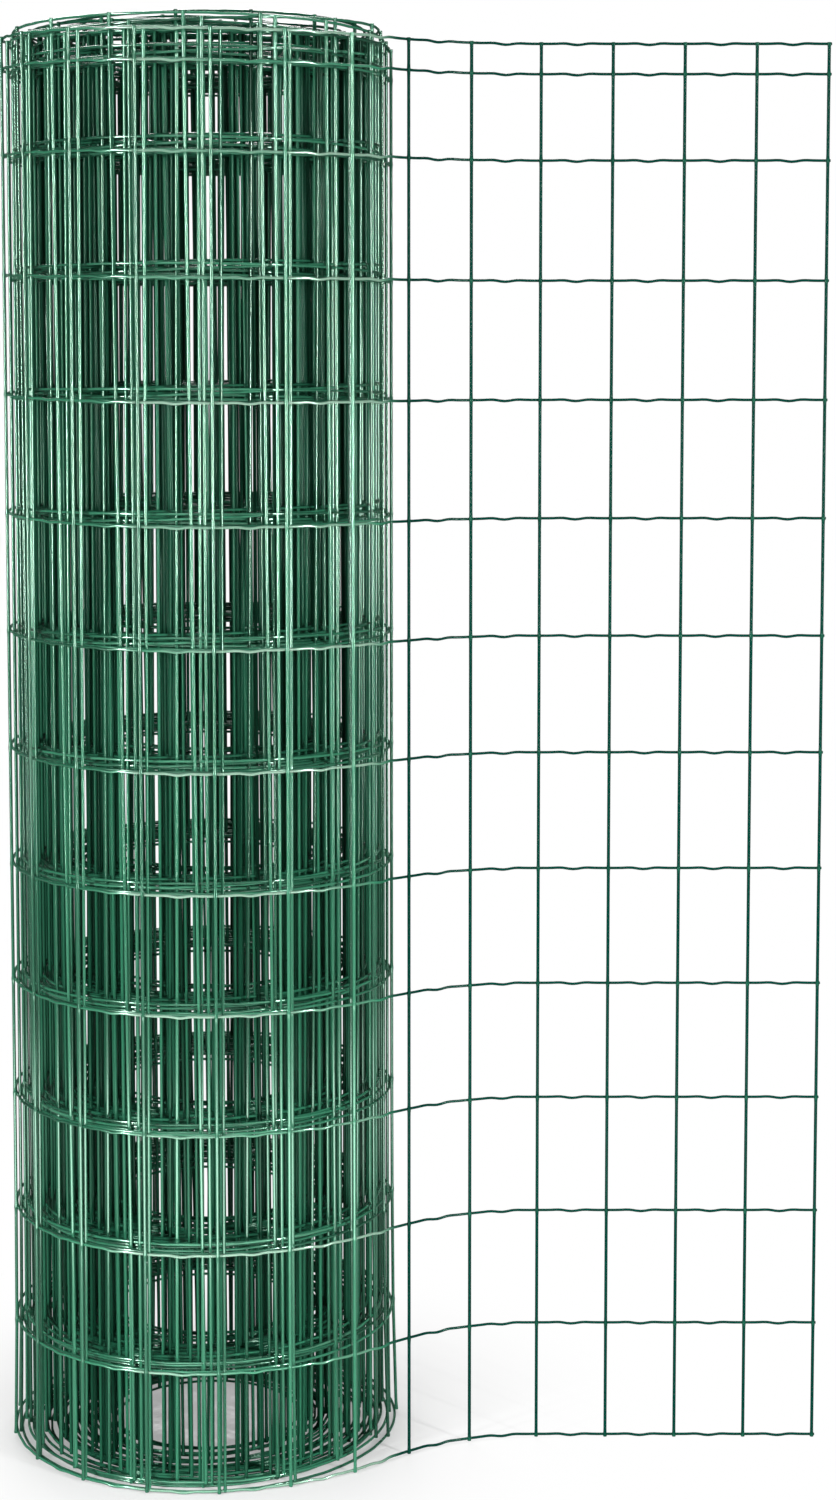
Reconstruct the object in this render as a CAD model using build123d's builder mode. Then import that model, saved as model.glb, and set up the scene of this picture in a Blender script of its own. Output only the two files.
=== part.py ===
"""Roll of coated welded wire fencing, stood on its end with the free end opened out flat."""

import os
from math import cos, radians, sin

from build123d import *

# Mesh: upright stays welded on the outside of level line wires
fence_height = 1200
row_pitch = 100
top_row_gap = 25
stay_pitch = 60
stay_diameter = 2.8
line_diameter = 2.3
wire_sides = 6
weld_sink = 0.6
crimp_depth = 1.2
crimp_share = 0.5
cut_end_overhang = 2.5

# Wound turns
roll_diameter = 328
bore_diameter = 154
turn_pitch = 3.3
turns_per_ridge = 2
rim_land = 3
groove_depth = 3

# Plan of the free end: it hugs the roll, bulges off it, and is set back flat
leave_angle = 4
hug_angle = 21
bulge_turn = 41
bulge_radius_share = 1.4
set_radius_share = 1.1
flat_run = 243
seat_gap = 0.3
parting_share = 0.25

line_radius = line_diameter / 2
stay_radius = stay_diameter / 2
roll_radius = roll_diameter / 2
bore_radius = bore_diameter / 2

# Section of one end of the roll: a flat rim at the bore, ridges of bunched turns, a flat rim outside
ridged_width = roll_radius - bore_radius - 2 * rim_land
ridge_count = max(1, int(ridged_width // (turns_per_ridge * turn_pitch)))
ridge_step = ridged_width / ridge_count
end_profile = [(bore_radius, 0), (bore_radius + rim_land, 0)]
for ridge in range(1, ridge_count + 1):
    crest_radius = bore_radius + rim_land + ridge * ridge_step
    end_profile += [(crest_radius - ridge_step / 2, groove_depth), (crest_radius, 0)]
end_profile.append((roll_radius, 0))
far_profile = [(radius, fence_height - level) for radius, level in reversed(end_profile)]

with BuildPart() as wound_roll:
    with BuildSketch(Plane.XZ) as roll_section:
        with BuildLine() as roll_outline:
            Polyline(*end_profile, *far_profile, close=True)
        make_face()
    revolve(axis=Axis.Z)

# The line wires run straight from bend to bend, so their path stands off the roll by the sag of one chord
chord_half_angle = crimp_share * stay_pitch / roll_diameter
hug_radius = roll_radius / cos(chord_half_angle) + seat_gap + line_radius
start_angle = radians(leave_angle - hug_angle)
start_point = (hug_radius * sin(start_angle), -hug_radius * cos(start_angle))

with BuildLine() as free_end_plan:
    hug = JernArc(start_point, (cos(start_angle), sin(start_angle)), hug_radius, hug_angle)
    bulge = JernArc(hug @ 1, hug % 1, hug_radius * bulge_radius_share, bulge_turn)
    set_back = JernArc(bulge @ 1, bulge % 1, hug_radius * set_radius_share, -leave_angle - bulge_turn)
    Line(set_back @ 1, (set_back @ 1) + (set_back % 1) * flat_run)
plan = free_end_plan.wires()[0]

# Stays are set out from the cut end back towards the roll
last_stay = plan.length - cut_end_overhang
stay_count = int((last_stay - stay_diameter) // stay_pitch) + 1
stays = [last_stay - number * stay_pitch for number in reversed(range(stay_count))]
stay_offset = line_radius + stay_radius - weld_sink
stay_points = []
for station in stays:
    heading = plan.tangent_at(station, position_mode=PositionMode.LENGTH)
    outward = Vector(heading.Y, -heading.X)
    stay_points.append(plan.position_at(station, position_mode=PositionMode.LENGTH) + outward * stay_offset)

# Every cell of a line wire has a shallow crimp half-way between its stays
stations = [(0, 0)]
for station in stays[:-1]:
    stations += [(station, 0), (station + crimp_share * stay_pitch, crimp_depth)]
stations += [(last_stay, 0), (plan.length, 0)]
wire_points = []
for station, drop in stations:
    wire_points.append(plan.position_at(station, position_mode=PositionMode.LENGTH) - Vector(0, 0, drop))

with BuildPart() as line_wire:
    with BuildLine() as wire_line:
        Polyline(*wire_points)
    with BuildSketch(Plane(origin=wire_line.line @ 0, z_dir=wire_line.line % 0)) as line_section:
        RegularPolygon(line_radius, wire_sides)
    sweep(transition=Transition.RIGHT)

# Rows rise at an even pitch from the foot, and the top edge has a second row close under it
bottom_row = crimp_depth + line_radius
top_row = fence_height - line_radius
even_rows = int((top_row - top_row_gap - crimp_depth - line_diameter - bottom_row) // row_pitch) + 1
row_levels = [bottom_row + number * row_pitch for number in range(even_rows)]
row_levels += [top_row - top_row_gap, top_row]

with BuildPart() as free_mesh:
    with Locations(*[(0, 0, level) for level in row_levels]):
        add(line_wire.part)
    with BuildSketch() as stay_section:
        with Locations(*stay_points):
            RegularPolygon(stay_radius, wire_sides)
    extrude(amount=fence_height)

# The mesh is kept as a bent and a flat stretch, parted across the line wires just before the first flat stay
flat_start = plan.length - flat_run
first_flat_stay = min(station for station in stays if station > flat_start)
parting_station = first_flat_stay - parting_share * stay_pitch
parting_plane = Plane(
    origin=plan.position_at(parting_station, position_mode=PositionMode.LENGTH),
    z_dir=plan.tangent_at(parting_station, position_mode=PositionMode.LENGTH),
)

with BuildPart() as bent_end:
    add(free_mesh.part)
    split(bisect_by=parting_plane, keep=Keep.BOTTOM)

with BuildPart() as flat_end:
    add(free_mesh.part)
    split(bisect_by=parting_plane, keep=Keep.TOP)

os.makedirs("parts", exist_ok=True)
wound_roll.part.label = "wound_roll"
bent_end.part.label = "bent_end"
flat_end.part.label = "flat_end"
export_step(wound_roll.part, "parts/wound_roll.step")
export_step(bent_end.part, "parts/bent_end.step")
export_step(flat_end.part, "parts/flat_end.step")
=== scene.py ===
"""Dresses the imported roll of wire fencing: its wound turns, its free end, the light and the camera."""

import logging
import math
from dataclasses import dataclass, field
from enum import Enum
from typing import Any, Optional

import bpy
import numpy as np
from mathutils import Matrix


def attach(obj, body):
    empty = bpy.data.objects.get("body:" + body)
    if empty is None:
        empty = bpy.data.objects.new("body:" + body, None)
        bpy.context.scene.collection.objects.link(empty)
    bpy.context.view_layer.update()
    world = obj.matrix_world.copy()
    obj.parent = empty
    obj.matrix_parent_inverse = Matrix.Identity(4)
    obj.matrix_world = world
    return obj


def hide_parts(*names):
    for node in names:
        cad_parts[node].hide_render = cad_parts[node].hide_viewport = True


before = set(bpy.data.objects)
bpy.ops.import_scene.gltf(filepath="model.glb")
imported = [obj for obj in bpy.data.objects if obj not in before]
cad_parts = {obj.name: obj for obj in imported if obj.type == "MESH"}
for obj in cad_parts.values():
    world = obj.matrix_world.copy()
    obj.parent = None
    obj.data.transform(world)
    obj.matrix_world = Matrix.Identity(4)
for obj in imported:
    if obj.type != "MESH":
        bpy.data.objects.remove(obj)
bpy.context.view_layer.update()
LOG = logging.getLogger("fence_roll")
MM = 0.001
WHITE = (1.0, 1.0, 1.0, 1.0)


class Stretch(Enum):
    """Stretches of the mesh from its cut edge inward, each one a piece of its own."""

    FREE_END = "free_end_wires"
    LEAVING = "leaving_wires"
    OUTER_TURN = "outer_turn_wires"
    NEAR_TURNS = "near_turn_wires"
    INNER_TURNS = "inner_turn_wires"


class Gloss(Enum):
    """How strongly the coat mirrors light, as the shader's specular level.

    Glossy gives bright lines down the front of the roll, satin a sheen in its depth, and dull next to none;
    satin and dull are painted shade, the one coat dimmed deep in the roll and on the free end.
    """

    GLOSSY = 0.9
    SATIN_FOR_SHADE = 0.12
    DULL_FOR_SHADE = 0.03


def linear(code: str) -> tuple[float, float, float, float]:
    """Turns an sRGB hex colour into the linear colour that a shader socket takes.

    Args:
        code: Six hex digits with a leading hash.

    Returns:
        Red, green, blue and an alpha of one.
    """
    parts = [int(code[at : at + 2], 16) / 255 for at in (1, 3, 5)]
    red, green, blue = [p / 12.92 if p <= 0.04045 else ((p + 0.055) / 1.055) ** 2.4 for p in parts]
    return red, green, blue, 1.0


def add_node(
    tree: bpy.types.NodeTree, kind: str, inputs: Optional[dict[Any, Any]] = None, **settings: Any
) -> bpy.types.Node:
    """Adds one shader node with its settings, its values and its links.

    Args:
        tree: The node tree that takes the node.
        kind: The node's Blender type.
        inputs: Socket name or number to a value, or to an output socket that is linked in.
        **settings: Properties of the node itself.

    Returns:
        The new node.
    """
    node = tree.nodes.new(kind)
    for name, value in settings.items():
        setattr(node, name, value)
    for socket, value in (inputs or {}).items():
        if isinstance(value, bpy.types.NodeSocket):
            tree.links.new(value, node.inputs[socket])
        else:
            node.inputs[socket].default_value = value
    return node


def smooth(share: np.ndarray) -> np.ndarray:
    """Eases a share from 0 to 1 at both its ends."""
    share = np.clip(share, 0, 1)
    return share * share * (3 - 2 * share)


@dataclass(frozen=True)
class Wander:
    """A smooth wandering of a size along the mesh: a few sine waves, so it comes out the same each time."""

    reach: float
    waves: tuple[float, ...]
    phases: tuple[float, ...]

    def at(self, where: np.ndarray) -> np.ndarray:
        """Gives the wander at places along the mesh.

        Args:
            where: Places, in the unit of the waves' lengths.

        Returns:
            Values that mostly lie within plus and minus the reach.
        """
        sines = [np.sin(2 * math.pi * where / wave + phase) for wave, phase in zip(self.waves, self.phases)]
        return self.reach * sum(sines) / math.sqrt(len(sines))


@dataclass(frozen=True)
class Gauge:
    """Sizes of the welded mesh in millimetres, and shares for its welds and its crimps."""

    height: float = 1200.0
    row_pitch: float = 100.0
    even_rows: int = 12
    top_row_gap: float = 25.0
    stay_pitch: float = 60.0
    stay_radius: float = 1.4
    line_radius: float = 1.15
    weld_sink: float = 0.6
    weld_swell: float = 0.22
    weld_reach: float = 2.2
    weld_pale: float = 0.35
    crimp_depth: float = 1.2
    crimp_share: float = 0.8
    overhang: float = 2.5

    @property
    def rows(self) -> np.ndarray:
        """Levels of the line wires, from the foot to the top edge."""
        foot = self.crimp_depth + self.line_radius
        top = self.height - self.line_radius
        return np.append(foot + self.row_pitch * np.arange(self.even_rows), [top - self.top_row_gap, top])

    @property
    def stay_offset(self) -> float:
        """How far a stay's middle stands outside the middle of the line wires it is welded to."""
        return self.line_radius + self.stay_radius - self.weld_sink


@dataclass
class Plan:
    """The mesh in plan: one line from its cut edge through the free end and every turn to the bore.

    Lengths are in millimetres along the middle of the line wires, and angles in degrees.
    """

    hug_radius: float = 166.14
    bore_radius: float = 79.5
    turns: float = 26.8
    leave_angle: float = 4.0
    bulge_turn: float = 41.0
    bulge_share: float = 1.4
    set_share: float = 1.1
    flat_run: float = 243.0
    loose_gap: float = 3.5
    bunch_reach: float = 0.9
    bunch_turns: float = 3.3
    sway: Wander = Wander(1.0, (0.61, 0.93, 1.37, 0.37), (3.6, 4.6, 0.8, 1.6))
    settled_from: float = 0.5
    settled_over: float = 1.5
    step: float = 1.0
    points: np.ndarray = field(init=False)
    stations: np.ndarray = field(init=False)
    depth: np.ndarray = field(init=False)
    free_length: float = field(init=False)

    def __post_init__(self) -> None:
        """Lays the line out and measures it."""
        free = self._free_end()
        wound, depth = self._turns()
        self.points = np.concatenate([free, wound[1:]])
        self.depth = np.concatenate([np.zeros(len(free)), depth[1:]])
        runs = np.hypot(*np.diff(self.points, axis=0).T)
        self.stations = np.concatenate([[0.0], np.cumsum(runs)])
        self.free_length = float(self.stations[len(free) - 1])

    def _free_end(self) -> np.ndarray:
        """Draws the free end from its cut edge back to where it leaves the roll."""
        lean = math.radians(self.leave_angle)
        bulge = math.radians(self.bulge_turn)
        line = [np.array([math.sin(lean), -math.cos(lean)]) * self.hug_radius]
        heading = lean
        for share, turn in ((self.bulge_share, bulge), (-self.set_share, -lean - bulge)):
            radius = share * self.hug_radius
            middle = line[-1] + radius * np.array([-math.sin(heading), math.cos(heading)])
            count = int(abs(radius * turn) / self.step)
            headings = heading + turn * np.arange(1, count + 1) / count
            line += [middle + radius * np.array([math.sin(a), -math.cos(a)]) for a in headings]
            heading += turn
        count = int(self.flat_run / self.step)
        start = line[-1]
        line += [start + np.array([self.flat_run * n / count, 0.0]) for n in range(1, count + 1)]
        return np.array(line[::-1])

    def _turns(self) -> tuple[np.ndarray, np.ndarray]:
        """Draws the turns inward from where the free end leaves.

        Returns:
            Points of the spiral, and how many turns deep each one lies.
        """
        depth = np.arange(0, self.turns, self.step / (2 * math.pi * self.hug_radius))
        pitch = (self.hug_radius - self.bore_radius - self.loose_gap) / self.turns
        radius = self.hug_radius - pitch * depth - self.loose_gap * (1 - np.exp(-depth))
        settled = np.clip((depth - self.settled_from) / self.settled_over, 0, 1)
        radius += settled * self.bunch_reach * np.sin(2 * math.pi * depth / self.bunch_turns)
        radius += settled * self.sway.at(depth)
        angle = math.radians(self.leave_angle) - 2 * math.pi * depth
        return np.column_stack([radius * np.sin(angle), -radius * np.cos(angle)]), depth

    def depth_at(self, station: np.ndarray) -> np.ndarray:
        """Gives how many turns deep places along the mesh lie."""
        return np.interp(station, self.stations, self.depth)

    def point_at(self, station: np.ndarray) -> np.ndarray:
        """Gives the points in plan of places along the mesh."""
        return np.column_stack([np.interp(station, self.stations, axis) for axis in self.points.T])

    def normal_at(self, station: np.ndarray) -> np.ndarray:
        """Gives the unit normals, which face outside, of places along the mesh."""
        run = self.point_at(station + 2 * self.step) - self.point_at(station - 2 * self.step)
        run /= np.hypot(*run.T)[:, None]
        return np.column_stack([-run[:, 1], run[:, 0]])


@dataclass
class TubeBundle:
    """Many wires joined in one mesh, each a tube with closed ends, gathered as arrays."""

    name: str
    sides: int
    vertices: list[np.ndarray] = field(default_factory=list)
    quads: list[np.ndarray] = field(default_factory=list)
    caps: list[list[int]] = field(default_factory=list)
    tones: list[np.ndarray] = field(default_factory=list)
    opened: list[np.ndarray] = field(default_factory=list)
    count: int = 0
    sharp_angle: float = 70.0

    def add(
        self, path: np.ndarray, across: np.ndarray, radius: np.ndarray, tone: np.ndarray, opened: np.ndarray
    ) -> None:
        """Adds one wire.

        Args:
            path: Points along the wire's middle, in millimetres.
            across: Two unit vectors across the wire at each point, square to each other.
            radius: The wire's radius at each point.
            tone: How light the coat is at each point: 0 dark, 1 light, and more where it is paler; it holds
                painted shade and a painted highlight.
            opened: How far each point lies on the opened end, from 0 to 1, and so how much painted shade it
                takes.
        """
        angles = 2 * math.pi * (np.arange(self.sides) + 0.5) / self.sides
        ring = np.stack([np.cos(angles), np.sin(angles)], axis=1)
        tube = path[:, None, :] + radius[:, None, None] * np.einsum("sk,pkx->psx", ring, across)
        number = self.count + np.arange(len(path) * self.sides).reshape(len(path), self.sides)
        beside = np.roll(number, -1, axis=1)
        corners = [number[:-1], beside[:-1], beside[1:], number[1:]]
        self.quads.append(np.stack(corners, axis=-1).reshape(-1, 4))
        self.caps += [number[0, ::-1].tolist(), number[-1].tolist()]
        self.vertices.append(tube.reshape(-1, 3))
        self.tones.append(np.repeat(tone, self.sides))
        self.opened.append(np.repeat(opened, self.sides))
        self.count += number.size

    def finish(self) -> bpy.types.Object:
        """Makes the mesh object.

        Returns:
            The joined wires, smooth-shaded, at the origin.
        """
        mesh = bpy.data.meshes.new(self.name)
        faces = np.concatenate(self.quads).tolist() + self.caps
        mesh.from_pydata((np.concatenate(self.vertices) * MM).tolist(), [], faces)
        for label, values in (("tone", self.tones), ("opened", self.opened)):
            layer = mesh.attributes.new(label, "FLOAT", "POINT")
            layer.data.foreach_set("value", np.concatenate(values).astype(np.float32))
        piece = bpy.data.objects.new(self.name, mesh)
        bpy.context.scene.collection.objects.link(piece)
        bpy.ops.object.select_all(action="DESELECT")
        piece.select_set(True)
        bpy.context.view_layer.objects.active = piece
        bpy.ops.object.mode_set(mode="EDIT")
        bpy.ops.mesh.select_all(action="SELECT")
        bpy.ops.mesh.normals_make_consistent(inside=False)
        bpy.ops.object.mode_set(mode="OBJECT")
        bpy.ops.object.shade_smooth_by_angle(angle=math.radians(self.sharp_angle))
        piece.select_set(False)
        return piece


@dataclass(frozen=True)
class CoatedWire:
    """Steel wire in an extruded green PVC coat: even and close-grained, with mint highlights.

    The pigment shows through the clear skin of the coat, so its highlights are tinted rather than white.
    The colours are those of dark, light and pale wires and of the opened end; the pale is a painted
    highlight, the opened end's dark teal painted shade.
    """

    gloss: Gloss
    dark: str = "#03281a"
    light: str = "#2c6a50"
    # The pale is a painted highlight on the wires that leave the roll.
    pale: str = "#6f8c7b"
    # The opened end's dark teal is painted shade.
    opened: str = "#032f26"
    shine: str = "#ccf2de"
    refraction: float = 1.72
    roughness: float = 0.15
    rough_range: float = 0.16
    grain_mm: float = 0.8
    grain_detail: float = 3.0
    grain_height_mm: float = 0.05
    grain_strength: float = 0.15
    patch_mm: float = 90.0
    patch_detail: float = 2.0
    patch_share: float = 0.3

    def material(self) -> bpy.types.Material:
        """Builds the finish.

        Returns:
            The procedural material.
        """
        made = bpy.data.materials.new(f"{self.gloss.name.lower()} green PVC coat on steel wire")
        made.use_nodes = True
        tree = made.node_tree
        shader = tree.nodes["Principled BSDF"]
        place = add_node(tree, "ShaderNodeTexCoord").outputs["Object"]
        # Each wire has its own tone, darker deep in the roll as painted shade, broken up by faint patches a
        # hand wide.
        tone = add_node(tree, "ShaderNodeAttribute", attribute_name="tone").outputs["Fac"]
        patches = {"Vector": place, "Scale": 1 / (self.patch_mm * MM), "Detail": self.patch_detail}
        patch = add_node(tree, "ShaderNodeTexNoise", patches).outputs["Fac"]
        about_zero = {0: patch, 1: self.patch_share, 2: -self.patch_share / 2}
        shift = add_node(tree, "ShaderNodeMath", about_zero, operation="MULTIPLY_ADD").outputs[0]
        level = add_node(tree, "ShaderNodeMath", {0: tone, 1: shift}, operation="ADD").outputs[0]
        # Above a tone of 1 the light coat turns pale: a painted highlight.
        above = add_node(tree, "ShaderNodeMath", {0: level, 1: 1.0}, operation="SUBTRACT").outputs[0]
        # The opened end takes the dark teal: painted shade.
        opened = add_node(tree, "ShaderNodeAttribute", attribute_name="opened").outputs["Fac"]
        whole: Any = linear(self.dark)
        for share, colour in ((level, self.light), (above, self.pale), (opened, self.opened)):
            blend = {"Factor": share, "A": whole, "B": linear(colour)}
            whole = add_node(tree, "ShaderNodeMix", blend, data_type="RGBA").outputs["Result"]
        tree.links.new(whole, shader.inputs["Base Color"])
        # The extruder leaves a fine grain, drawn a little coarser than it is so that it shows.
        grains = {"Vector": place, "Scale": 1 / (self.grain_mm * MM), "Detail": self.grain_detail}
        grain = add_node(tree, "ShaderNodeTexNoise", grains).outputs["Fac"]
        smoothest = self.roughness - self.rough_range / 2
        roughest = self.roughness + self.rough_range / 2
        between = {"Value": grain, "To Min": smoothest, "To Max": roughest}
        rough = add_node(tree, "ShaderNodeMapRange", between).outputs["Result"]
        tree.links.new(rough, shader.inputs["Roughness"])
        relief = {"Height": grain, "Strength": self.grain_strength, "Distance": self.grain_height_mm * MM}
        bump = add_node(tree, "ShaderNodeBump", relief).outputs["Normal"]
        tree.links.new(bump, shader.inputs["Normal"])
        shader.inputs["IOR"].default_value = self.refraction
        shader.inputs["Specular IOR Level"].default_value = self.gloss.value
        shader.inputs["Specular Tint"].default_value = linear(self.shine)
        return made


@dataclass
class FenceMesh:
    """The whole length of mesh: the free end, where it leaves the roll, and the wound turns.

    Lengths are in millimetres, along the mesh from its cut edge, and depths are in turns from the outside.
    """

    gauge: Gauge = field(default_factory=Gauge)
    plan: Plan = field(default_factory=Plan)
    # Where the stretches part.
    free_stays: int = 7
    outer_depth: float = 1.0
    near_depth: float = 6.0
    # Tone of the coat, from 0 for dark to 1 for light and more for pale: painted shade on the deep turns
    # and the opened end, a painted highlight on the pale wires.
    opened_to: float = 366.0
    closed_from: float = 396.0
    shade_start_depth: float = 3.5
    shade_full_depth: float = 9.0
    shaded_inner_tone: float = 0.55
    painted_highlight_tone: float = 1.8
    painted_highlight_from: float = 370.0
    painted_highlight_to: float = 640.0
    painted_highlight_ease: float = 45.0
    tone_seed: int = 7
    tone_range: tuple[float, float] = (0.2, 1.05)
    line_tone: float = 0.7
    line_waves: tuple[float, ...] = (700.0, 1900.0, 310.0)
    row_phases: tuple[float, ...] = (1.7, 2.9, 0.6)
    # Looseness of the wound turns.
    flare: float = 8.0
    flare_height: float = 85.0
    flare_turns: float = 1.1
    stay_seed: int = 1804
    stay_jitter: float = 1.6
    slack_run: float = 500.0
    lean: Wander = Wander(5.0, (1.7, 3.1, 5.9), (6.2, 2.2, 6.0))
    stray: Wander = Wander(7.0, (2.3, 3.7, 0.83), (1.4, 3.2, 5.6))
    stray_middle: float = 6.0
    stray_foot: float = 0.35
    eased_crimp: float = 0.75
    foot_drop: float = 0.9
    # Sides of the wires, heights of the stays' rings, and shares of a cell where its line wire has rings.
    fine_sides: int = 10
    plain_sides: int = 8
    coarse_sides: int = 6
    weld_rings: tuple[float, ...] = (-6.0, -2.4, -1.2, 0.0, 1.2, 2.4, 6.0)
    plain_rings: tuple[float, ...] = (25.0, 60.0, 110.0, 200.0, 350.0, 550.0, 800.0, 1000.0)
    fine_half: tuple[float, ...] = (0.02, 0.05, 0.12, 0.2, 0.28, 0.34, 0.39, 0.44)
    plain_shares: tuple[float, ...] = (0.0, 0.2, 0.3, 0.4, 0.5, 0.6, 0.7, 0.8)
    coarse_shares: tuple[float, ...] = (0.0, 0.35, 0.5, 0.65)
    stays: np.ndarray = field(init=False)
    tones: np.ndarray = field(init=False)
    bounds: dict[Stretch, tuple[int, int]] = field(init=False)

    def __post_init__(self) -> None:
        """Sets the stays out along the mesh from its cut edge, and parts them into stretches."""
        gauge, plan = self.gauge, self.plan
        count = int((plan.stations[-1] - gauge.overhang) // gauge.stay_pitch) + 1
        even = gauge.overhang + gauge.stay_pitch * np.arange(count)
        wound = int(np.searchsorted(even, plan.free_length))
        jitter = np.random.default_rng(self.stay_seed).uniform(-1, 1, count - wound)
        shift = np.append(np.zeros(wound), jitter)
        self.stays = even + shift * self.stay_jitter * self.slack(even)
        # Each stay's tone differs at random and also takes the painted shade of its depth.
        mottle = np.random.default_rng(self.tone_seed).uniform(*self.tone_range, count)
        self.tones = self.shade(even) * mottle
        depths = plan.depth_at(even)
        inner = [int(np.searchsorted(depths, depth)) for depth in (self.outer_depth, self.near_depth)]
        marks = [0, self.free_stays, wound, *inner]
        ends = marks[1:] + [count - 1]
        self.bounds = {stretch: (first, last) for stretch, first, last in zip(Stretch, marks, ends)}

    def slack(self, station: np.ndarray) -> np.ndarray:
        """Gives how far places have the wound turns' unevenness: none on the free end, all once wound."""
        return np.clip((station - self.plan.free_length) / self.slack_run, 0, 1)

    def opened(self, station: np.ndarray) -> np.ndarray:
        """Gives how far places lie on the opened end, and so its painted shade: 1 on its flat run, 0 in the
        bend by the roll.
        """
        return smooth((self.closed_from - station) / (self.closed_from - self.opened_to))

    def shade(self, station: np.ndarray) -> np.ndarray:
        """Gives the painted shade along the mesh: full tone on the outer turns, darker deeper inside."""
        inward = (self.plan.depth_at(station) - self.shade_start_depth) / (self.shade_full_depth - self.shade_start_depth)
        return 1 - (1 - self.shaded_inner_tone) * np.clip(inward, 0, 1)

    def place(self, station: np.ndarray, level: np.ndarray, out: float) -> tuple[np.ndarray, np.ndarray]:
        """Finds points on the mesh, with the loose turns' lean, rise and flare.

        Args:
            station: Lengths from the cut edge.
            level: Heights on the flat mesh.
            out: How far outside the line wires' middle.

        Returns:
            Points in millimetres, and normals that face outside.
        """
        depth = self.plan.depth_at(station)
        slack = self.slack(station)
        share = level / self.gauge.height
        moved = station + self.lean.at(depth) * slack * (2 * share - 1)
        normal = self.plan.normal_at(moved)
        spread = out + self.flare * slack * np.exp(-depth / self.flare_turns - level / self.flare_height)
        rise = np.maximum(self.stray_middle + self.stray.at(depth), 0) * slack
        rise *= self.stray_foot + (1 - self.stray_foot) * share
        points = np.column_stack([self.plan.point_at(moved) + normal * spread[:, None], level + rise])
        return points, np.column_stack([normal, np.zeros(len(normal))])

    def add_stay(self, bundle: TubeBundle, number: int, levels: np.ndarray) -> None:
        """Adds one upright stay, which swells a little over each weld.

        Args:
            bundle: The joined wires that take it.
            number: Which stay, counted from the cut edge.
            levels: Heights of its rings.
        """
        gauge = self.gauge
        station = np.full(len(levels), self.stays[number])
        path, normal = self.place(station, levels, gauge.stay_offset)
        away = np.min(np.abs(levels[:, None] - gauge.rows[None, :]), axis=1)
        weld = np.exp(-((away / gauge.weld_reach) ** 2))
        radius = gauge.stay_radius * (1 + gauge.weld_swell * weld)
        along = np.column_stack([-normal[:, 1], normal[:, 0], np.zeros(len(normal))])
        tone = np.full(len(levels), self.tones[number])
        # The opened end's painted shade, a little less at the welds.
        opened = self.opened(station) * (1 - gauge.weld_pale * weld)
        bundle.add(path, np.stack([along, normal], axis=1), radius, tone, opened)

    def add_line(self, bundle: TubeBundle, row: int, first: int, last: int, shares: np.ndarray) -> None:
        """Adds one stretch of a line wire with a crimp in the middle of each cell.

        Args:
            bundle: The joined wires that take it.
            row: Which row, from the foot.
            first: The first stay of the stretch.
            last: The last stay of the stretch.
            shares: Where the rings of each cell lie, from one stay to the next.
        """
        gauge = self.gauge
        welds = self.stays[first : last + 1]
        # A shallow wave: level at the welds, a little up at the quarters and down in the middle.
        wave = gauge.crimp_share * np.cos(4 * math.pi * (shares - 0.5)) * np.sin(math.pi * shares) ** 4
        away = gauge.stay_pitch * np.minimum(shares, 1 - shares)
        welded = np.exp(-((away / gauge.weld_reach) ** 2))
        cells = welds[:-1, None] + np.diff(welds)[:, None] * shares[None, :]
        station = np.append(cells.ravel(), welds[-1])
        drop = np.append(np.tile(wave, len(welds) - 1), 0.0)
        weld = np.append(np.tile(welded, len(welds) - 1), 1.0)
        # At the cut edge the wire runs on past its last stay.
        if first == 0:
            station, drop, weld = [np.insert(values, 0, 0.0) for values in (station, drop, weld)]
        path, normal = self.place(station, np.full(len(station), gauge.rows[row]), 0.0)
        slack = self.slack(station)
        path[:, 2] -= drop * gauge.crimp_depth * (1 - self.eased_crimp * slack)
        path[:, 2] -= self.foot_drop * slack * (row == 0)
        up = np.tile(np.array([0.0, 0.0, 1.0]), (len(path), 1))
        phases = tuple(phase * row for phase in self.row_phases)
        drift = Wander(1 - self.line_tone, self.line_waves, phases)
        # The line wires that leave the roll are painted pale: a painted highlight.
        edge = np.minimum(station - self.painted_highlight_from, self.painted_highlight_to - station) / self.painted_highlight_ease
        pale = 1 + self.painted_highlight_tone * smooth(edge)
        # Deep turns take painted shade.
        tone = np.maximum(self.shade(station) * (self.line_tone + drift.at(station)), 0) * pale
        radius = np.full(len(path), gauge.line_radius)
        # The opened end's painted shade, a little less at the welds.
        opened = self.opened(station) * (1 - gauge.weld_pale * weld)
        bundle.add(path, np.stack([normal, up], axis=1), radius, tone, opened)

    def build(self) -> dict[Stretch, bpy.types.Object]:
        """Builds the wires of each stretch.

        Returns:
            The pieces by stretch.
        """
        gauge = self.gauge
        near_welds = (gauge.rows[:, None] + np.array(self.weld_rings)[None, :]).ravel()
        # The stays are cut level with the underside of the foot wire.
        foot = gauge.crimp_depth
        fine_levels = np.unique(np.clip(np.append(near_welds, gauge.height), foot, gauge.height))
        plain_levels = np.array([foot, *self.plain_rings, gauge.height])
        half = np.array(self.fine_half)
        fine_shares = np.concatenate([[0.0], half, [0.5], 1 - half[::-1]])
        fine = (self.fine_sides, fine_levels, fine_shares)
        inside = {
            Stretch.NEAR_TURNS: (self.plain_sides, plain_levels, np.array(self.plain_shares)),
            Stretch.INNER_TURNS: (self.coarse_sides, plain_levels, np.array(self.coarse_shares)),
        }
        pieces = {}
        for stretch, (first, last) in self.bounds.items():
            sides, levels, shares = inside.get(stretch, fine)
            bundle = TubeBundle(stretch.value, sides)
            for number in range(first, last + (stretch is Stretch.INNER_TURNS)):
                self.add_stay(bundle, number, levels)
            for row in range(len(gauge.rows)):
                self.add_line(bundle, row, first, last, shares)
            pieces[stretch] = bundle.finish()
        return pieces

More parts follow.
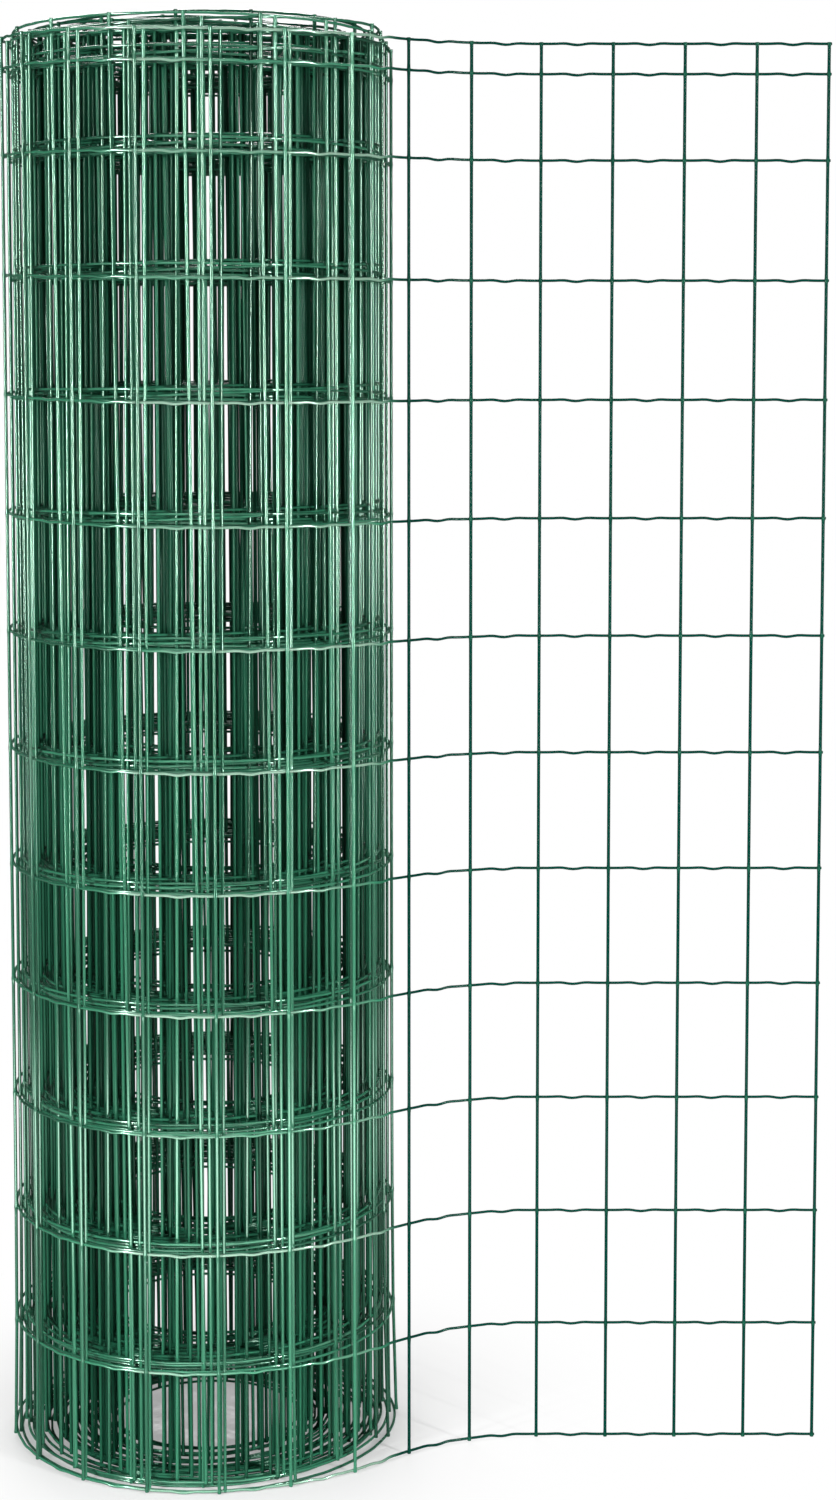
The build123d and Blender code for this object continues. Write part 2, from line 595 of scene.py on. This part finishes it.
    def mount(self, pieces: dict[Stretch, bpy.types.Object]) -> None:
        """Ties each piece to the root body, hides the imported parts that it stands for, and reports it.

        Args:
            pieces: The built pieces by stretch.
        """
        stands_for = {Stretch.FREE_END: ("flat_end", "bent_end"), Stretch.LEAVING: ("bent_end",)}
        for stretch, piece in pieces.items():
            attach(piece, "root")
            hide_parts(*stands_for.get(stretch, ("wound_roll",)))
            triangles = sum(len(face.vertices) - 2 for face in piece.data.polygons)
            LOG.info("%s: %d triangles", piece.name, triangles)

    def dress(self, pieces: dict[Stretch, bpy.types.Object]) -> None:
        """Gives every wire its coat: glossy on the outer turns, and as painted shade satin inside and dull
        on the free end.

        Args:
            pieces: The built pieces by stretch.
        """
        coats = {gloss: CoatedWire(gloss).material() for gloss in Gloss}
        # Satin inside and dull on the free end are painted shade that dims the highlights.
        finish = {Stretch.FREE_END: Gloss.DULL_FOR_SHADE, Stretch.INNER_TURNS: Gloss.SATIN_FOR_SHADE}
        for stretch, piece in pieces.items():
            piece.data.materials.append(coats[finish.get(stretch, Gloss.GLOSSY)])


@dataclass(frozen=True)
class Lamp:
    """One soft area lamp, in metres and watts, aimed level at the object or down at it from above."""

    name: str
    at: tuple[float, float, float]
    size: tuple[float, float]
    power: float
    aim: tuple[float, float] = (0.1, 0.0)
    aim_height: float = 0.8

    def hang(self) -> None:
        """Hangs the lamp out of the camera's sight."""
        data = bpy.data.lights.new(self.name, "AREA")
        data.shape = "RECTANGLE"
        data.size, data.size_y = self.size
        data.energy = self.power
        lamp = bpy.data.objects.new(self.name, data)
        lamp.location = self.at
        lamp.visible_camera = False
        x, y, z = np.array([*self.aim, min(self.at[2], self.aim_height)]) - np.array(self.at)
        lamp.rotation_euler = (math.atan2(math.hypot(x, y), -z), 0.0, math.atan2(y, x) - math.pi / 2)
        bpy.context.scene.collection.objects.link(lamp)


@dataclass
class Studio:
    """The plain floor, the soft light and the camera.

    The camera's sizes are in millimetres and in pixels of the photograph, the floor's in metres.
    """

    camera_at: tuple[float, float, float] = (186.7, -2373.0, 955.0)
    pitch: float = 5.0
    sensor: float = 36.0
    focal_px: float = 2755.0
    rise_px: float = -171.7
    frame_px: float = 1500.0
    clip_end: float = 100.0
    ambient: float = 0.06
    floor_size: float = 40.0
    floor_seen: str = "#c8c8c8"
    floor_bounce: str = "#888888"
    floor_clear: float = 0.16
    floor_white: float = 0.45
    floor_shade: float = 0.88
    floor_fade: float = 3.0
    lamps: tuple[Lamp, ...] = (
        Lamp("front box", (-0.6, -2.9, 1.6), (0.8, 0.8), 6.0),
        Lamp("low box", (0.0, -0.65, 0.1), (1.2, 0.18), 4.5),
        Lamp("low left strip", (-0.75, -0.9, 0.6), (0.04, 0.6), 6.0),
        Lamp("low right strip", (0.95, -0.85, 0.6), (0.04, 0.6), 6.0),
        Lamp("left strip", (-1.75, -1.8, 1.0), (0.1, 1.0), 60.0),
        Lamp("right strip", (1.95, -1.75, 1.0), (0.1, 1.0), 60.0),
        Lamp("overhead box", (0.1, -1.0, 2.9), (1.4, 0.5), 10.0),
        Lamp("back box", (-0.3, 1.9, 2.7), (1.6, 1.0), 80.0),
    )

    def set_camera(self) -> None:
        """Sets the camera at the photograph's viewing angle."""
        data = bpy.data.cameras.new("camera")
        data.sensor_width = self.sensor
        data.lens = self.sensor * self.focal_px / self.frame_px
        data.shift_y = self.rise_px / self.frame_px
        data.clip_end = self.clip_end
        camera = bpy.data.objects.new("camera", data)
        camera.location = [value * MM for value in self.camera_at]
        camera.rotation_euler = (math.radians(90 - self.pitch), 0.0, 0.0)
        bpy.context.scene.collection.objects.link(camera)
        bpy.context.scene.camera = camera

    def set_world(self) -> None:
        """Sets a faint even surround that the camera sees as white; the coat is neither metal nor glass."""
        world = bpy.data.worlds.new("surround")
        world.use_nodes = True
        bpy.context.scene.world = world
        tree = world.node_tree
        tree.nodes.clear()
        seen = add_node(tree, "ShaderNodeLightPath").outputs["Is Camera Ray"]
        surround = {"Color": WHITE, "Strength": self.ambient}
        faint = add_node(tree, "ShaderNodeBackground", surround).outputs[0]
        white = add_node(tree, "ShaderNodeBackground", {"Color": WHITE, "Strength": 1.0}).outputs[0]
        mix = add_node(tree, "ShaderNodeMixShader", {0: seen, 1: faint, 2: white}).outputs[0]
        add_node(tree, "ShaderNodeOutputWorld", {"Surface": mix})

    def lay_floor(self) -> None:
        """Lays a pale floor that keeps the shadow by the foot and fades into the white surround."""
        bpy.ops.object.select_all(action="DESELECT")
        bpy.ops.mesh.primitive_plane_add(size=self.floor_size, location=(0.0, 0.0, 0.0))
        floor = bpy.context.active_object
        floor.name = "floor"
        made = bpy.data.materials.new("pale matt studio floor")
        made.use_nodes = True
        tree = made.node_tree
        tree.nodes.clear()
        place = add_node(tree, "ShaderNodeTexCoord").outputs["Object"]
        away = add_node(tree, "ShaderNodeVectorMath", {0: place}, operation="LENGTH").outputs["Value"]
        fall = {
            "Value": away,
            "From Min": self.floor_clear,
            "From Max": self.floor_white,
            "To Min": self.floor_shade,
            "To Max": 0.0,
        }
        near = add_node(tree, "ShaderNodeMapRange", fall).outputs["Result"]
        eased = {0: near, 1: self.floor_fade}
        shade = add_node(tree, "ShaderNodeMath", eased, operation="POWER").outputs[0]
        matt = add_node(tree, "ShaderNodeBsdfDiffuse", {"Color": linear(self.floor_seen)}).outputs[0]
        glow = add_node(tree, "ShaderNodeEmission", {"Color": WHITE, "Strength": 1.0}).outputs[0]
        pale = add_node(tree, "ShaderNodeMixShader", {0: shade, 1: glow, 2: matt}).outputs[0]
        bounce = add_node(tree, "ShaderNodeBsdfDiffuse", {"Color": linear(self.floor_bounce)}).outputs[0]
        seen = add_node(tree, "ShaderNodeLightPath").outputs["Is Camera Ray"]
        whole = add_node(tree, "ShaderNodeMixShader", {0: seen, 1: bounce, 2: pale}).outputs[0]
        add_node(tree, "ShaderNodeOutputMaterial", {"Surface": whole})
        floor.data.materials.append(made)

    def set_up(self) -> None:
        """Sets the surround, the floor, the lamps and the camera."""
        bpy.context.scene.view_settings.view_transform = "Standard"
        self.set_world()
        self.lay_floor()
        for lamp in self.lamps:
            lamp.hang()
        self.set_camera()


def main() -> None:
    """Builds and dresses the fence mesh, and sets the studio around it."""
    logging.basicConfig(level=logging.INFO, format="%(name)s %(message)s")
    fence = FenceMesh()
    pieces = fence.build()
    fence.mount(pieces)
    fence.dress(pieces)
    Studio().set_up()


if __name__ == "__main__":
    main()
